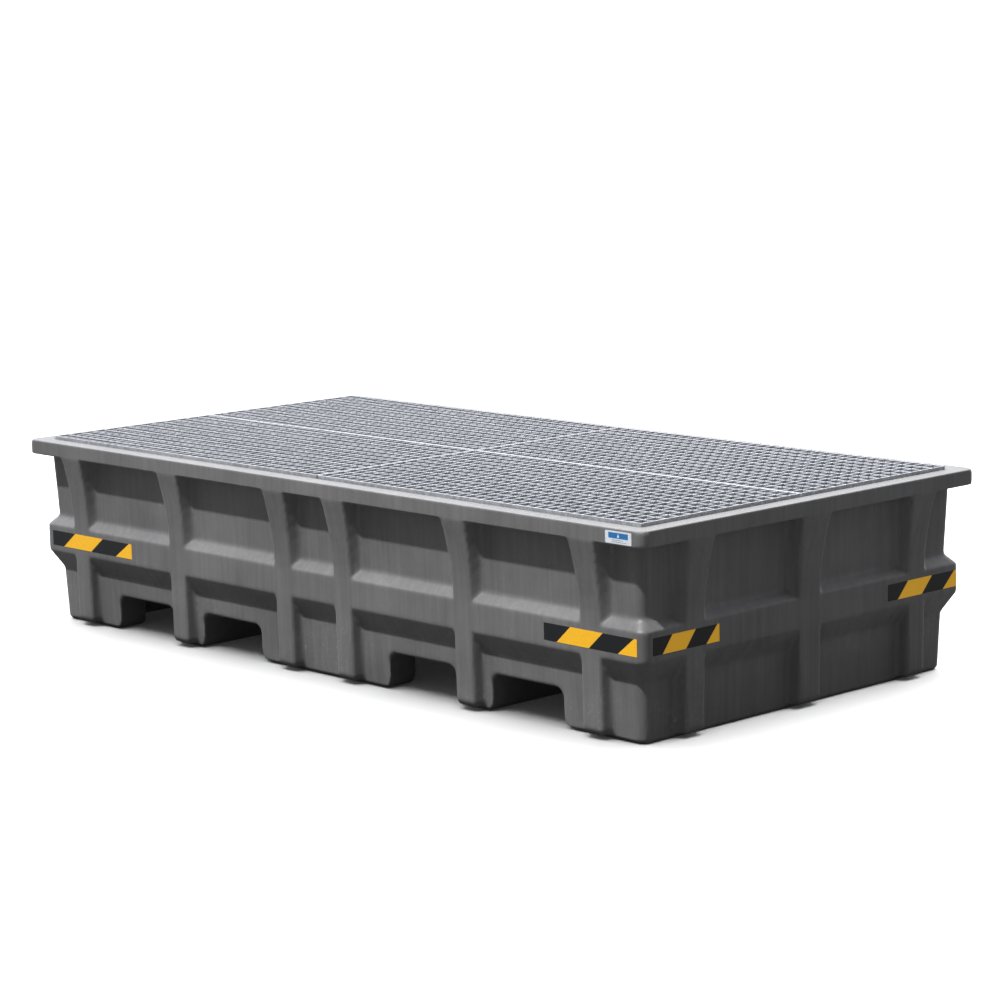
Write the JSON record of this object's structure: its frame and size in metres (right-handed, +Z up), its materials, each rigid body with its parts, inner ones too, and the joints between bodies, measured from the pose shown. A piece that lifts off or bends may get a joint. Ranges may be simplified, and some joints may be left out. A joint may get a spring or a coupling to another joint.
{
  "type": "spill containment pallet",
  "caption": "Large moulded sump with fork pockets under lift-out press-locked gratings, for catching leaks from drums or bulk containers.",
  "frame": {"origin": "centre of the footprint, on the ground", "axes": "+X along the long side, +Y to the back, +Z up"},
  "size_m": [2.54, 1.2805, 0.553],
  "materials": {
    "polyethylene": "rotomoulded, fine satin grain",
    "galvanised_steel": "hot-dip galvanised",
    "support_steel": "hot-dip galvanised",
    "hazard_tape": "reflective film, black and yellow",
    "label_film": "printed vinyl"
  },
  "bodies": {
    "tub": {"sump_tub": "polyethylene", "support_beam": "support_steel", "post_left_end": "support_steel", "post_left": "support_steel", "post_right": "support_steel", "post_right_end": "support_steel", "tape_front_left": "hazard_tape", "tape_front_right": "hazard_tape", "tape_back_left": "hazard_tape", "tape_back_right": "hazard_tape", "tape_left_front": "hazard_tape", "tape_left_back": "hazard_tape", "tape_right_front": "hazard_tape", "tape_right_back": "hazard_tape", "rim_label": "label_film"},
    "grating_front_left": {"front_left_border": "galvanised_steel", "front_left_bearing_bars": "galvanised_steel", "front_left_cross_bars": "galvanised_steel"},
    "grating_front_right": {"front_right_border": "galvanised_steel", "front_right_bearing_bars": "galvanised_steel", "front_right_cross_bars": "galvanised_steel"},
    "grating_back_left": {"back_left_border": "galvanised_steel", "back_left_bearing_bars": "galvanised_steel", "back_left_cross_bars": "galvanised_steel"},
    "grating_back_right": {"back_right_border": "galvanised_steel", "back_right_bearing_bars": "galvanised_steel", "back_right_cross_bars": "galvanised_steel"}
  },
  "joints": [
    {"name": "front_left_lift", "type": "slide", "parent": "tub", "child": "grating_front_left", "axis": [0, 0, 1], "range_m": [0, 0.15]},
    {"name": "front_right_lift", "type": "slide", "parent": "tub", "child": "grating_front_right", "axis": [0, 0, 1], "range_m": [0, 0.15]},
    {"name": "back_left_lift", "type": "slide", "parent": "tub", "child": "grating_back_left", "axis": [0, 0, 1], "range_m": [0, 0.15]},
    {"name": "back_right_lift", "type": "slide", "parent": "tub", "child": "grating_back_right", "axis": [0, 0, 1], "range_m": [0, 0.15]}
  ]
}
